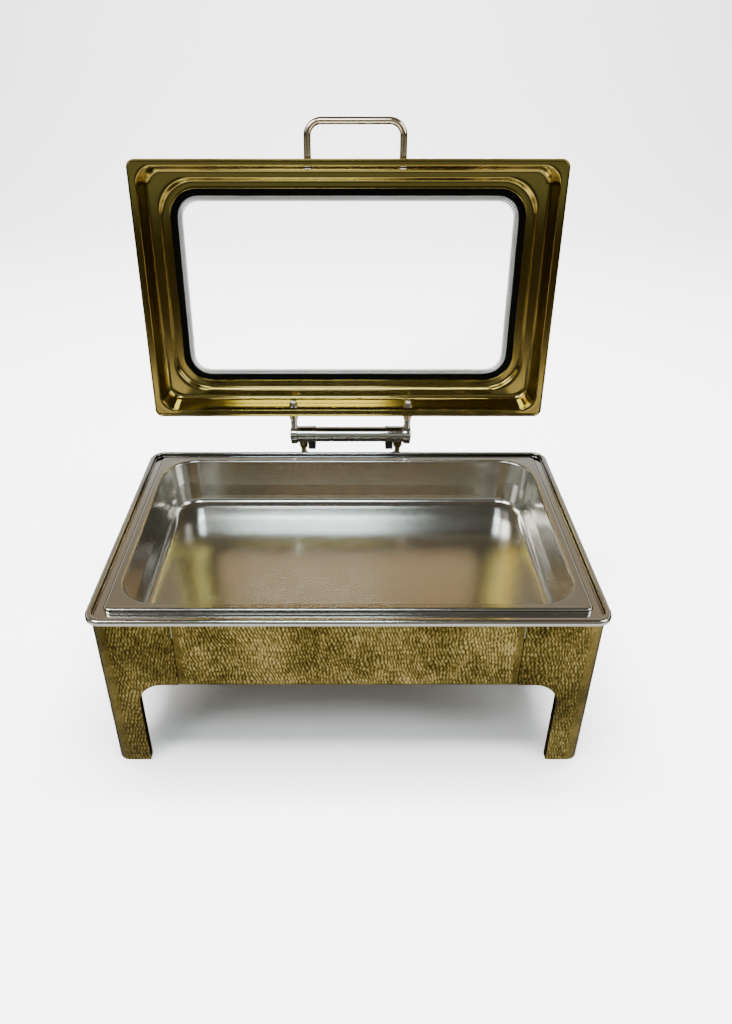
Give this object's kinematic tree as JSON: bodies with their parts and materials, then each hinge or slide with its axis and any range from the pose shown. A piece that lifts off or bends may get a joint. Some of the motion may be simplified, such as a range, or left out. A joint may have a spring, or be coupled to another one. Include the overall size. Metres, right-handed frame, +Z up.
{
  "type": "chafing dish with hinged window lid",
  "caption": "Full-size rectangular chafer: food pan in a water pan on a hammered stand, window lid on a damped rear hinge, handle, shelf with fuel cups.",
  "frame": {"origin": "on the table under the middle of the bounding box, lid open", "axes": "+Z up, front faces -Y, +X to the viewer's right as seen from the front"},
  "size_m": [0.565, 0.4424, 0.6621],
  "materials": {
    "hammered_brass": "hammered antique brass",
    "lid_brass": "pressed, semi-gloss",
    "stainless": "satin pressed",
    "rim_steel": "polished pressed",
    "zinc_steel": "plain strip",
    "hinge_chrome": "polished",
    "handle_gold": "polished",
    "bush_bronze": "machined",
    "black_rubber": "matte",
    "window_glass": "clear with a black printed border"
  },
  "bodies": {
    "stand": {"front_panel": "hammered_brass", "back_panel": "hammered_brass", "left_panel": "hammered_brass", "right_panel": "hammered_brass", "corner_leg_front_left": "hammered_brass", "corner_leg_front_right": "hammered_brass", "corner_leg_back_left": "hammered_brass", "corner_leg_back_right": "hammered_brass", "top_frame": "zinc_steel", "seam_strips": "hammered_brass", "hinge_plate": "hinge_chrome", "hinge_plate_screws": "hinge_chrome", "hinge_bracket_left": "hinge_chrome", "hinge_bracket_right": "hinge_chrome", "bracket_bolts": "hinge_chrome", "hinge_pad_left": "black_rubber", "hinge_pad_right": "black_rubber", "hinge_tube": "hinge_chrome", "damper_bushes": "bush_bronze", "damper_partition": "zinc_steel", "fuel_shelf": "zinc_steel", "shelf_hanger_left": "zinc_steel", "shelf_hanger_right": "zinc_steel", "hanger_screws": "hinge_chrome"},
    "lid": {"damper_shaft": "hinge_chrome", "damper_vane": "zinc_steel", "hinge_knuckle_left": "hinge_chrome", "hinge_knuckle_right": "hinge_chrome", "knuckle_caps": "hinge_chrome", "lid_spacer_left": "handle_gold", "lid_spacer_right": "handle_gold", "lid_stud_left": "hinge_chrome", "lid_stud_right": "hinge_chrome", "lid_nut_left": "hinge_chrome", "lid_nut_right": "hinge_chrome", "lid_shell": "lid_brass", "window_gasket": "black_rubber", "window_glass": "window_glass", "lid_handle": "handle_gold", "handle_collars": "handle_gold", "handle_screws": "hinge_chrome"},
    "water_pan": {"water_pan": "rim_steel"},
    "food_pan": {"food_pan": "stainless"},
    "burner_left": {"fuel_cup_left": "stainless", "snuffer_pin_left": "hinge_chrome"},
    "burner_right": {"fuel_cup_right": "stainless", "snuffer_pin_right": "hinge_chrome"},
    "snuffer_left": {"snuffer_cap_left": "stainless"},
    "snuffer_right": {"snuffer_cap_right": "stainless"}
  },
  "joints": [
    {"name": "lid_hinge", "type": "hinge", "parent": "stand", "child": "lid", "pos_m": [0.0035, 0.16578, 0.238], "axis": [-1, 0, 0], "range_deg": [-94, 0]},
    {"name": "water_pan_lift", "type": "slide", "parent": "stand", "child": "water_pan", "axis": [0, 0, 1], "range_m": [0, 0.12]},
    {"name": "food_pan_lift", "type": "slide", "parent": "water_pan", "child": "food_pan", "axis": [0, 0, 1], "range_m": [0, 0.09]},
    {"name": "burner_left_pull", "type": "slide", "parent": "stand", "child": "burner_left", "axis": [0, -1, 0], "range_m": [0, 0.2]},
    {"name": "burner_right_pull", "type": "slide", "parent": "stand", "child": "burner_right", "axis": [0, -1, 0], "range_m": [0, 0.2]},
    {"name": "snuffer_left_swing", "type": "hinge", "parent": "burner_left", "child": "snuffer_left", "pos_m": [-0.13, 0.00878, 0.0705], "axis": [0, 0, -1], "range_deg": [0, 110]},
    {"name": "snuffer_right_swing", "type": "hinge", "parent": "burner_right", "child": "snuffer_right", "pos_m": [0.13, 0.00878, 0.0705], "axis": [0, 0, 1], "range_deg": [0, 110]}
  ]
}
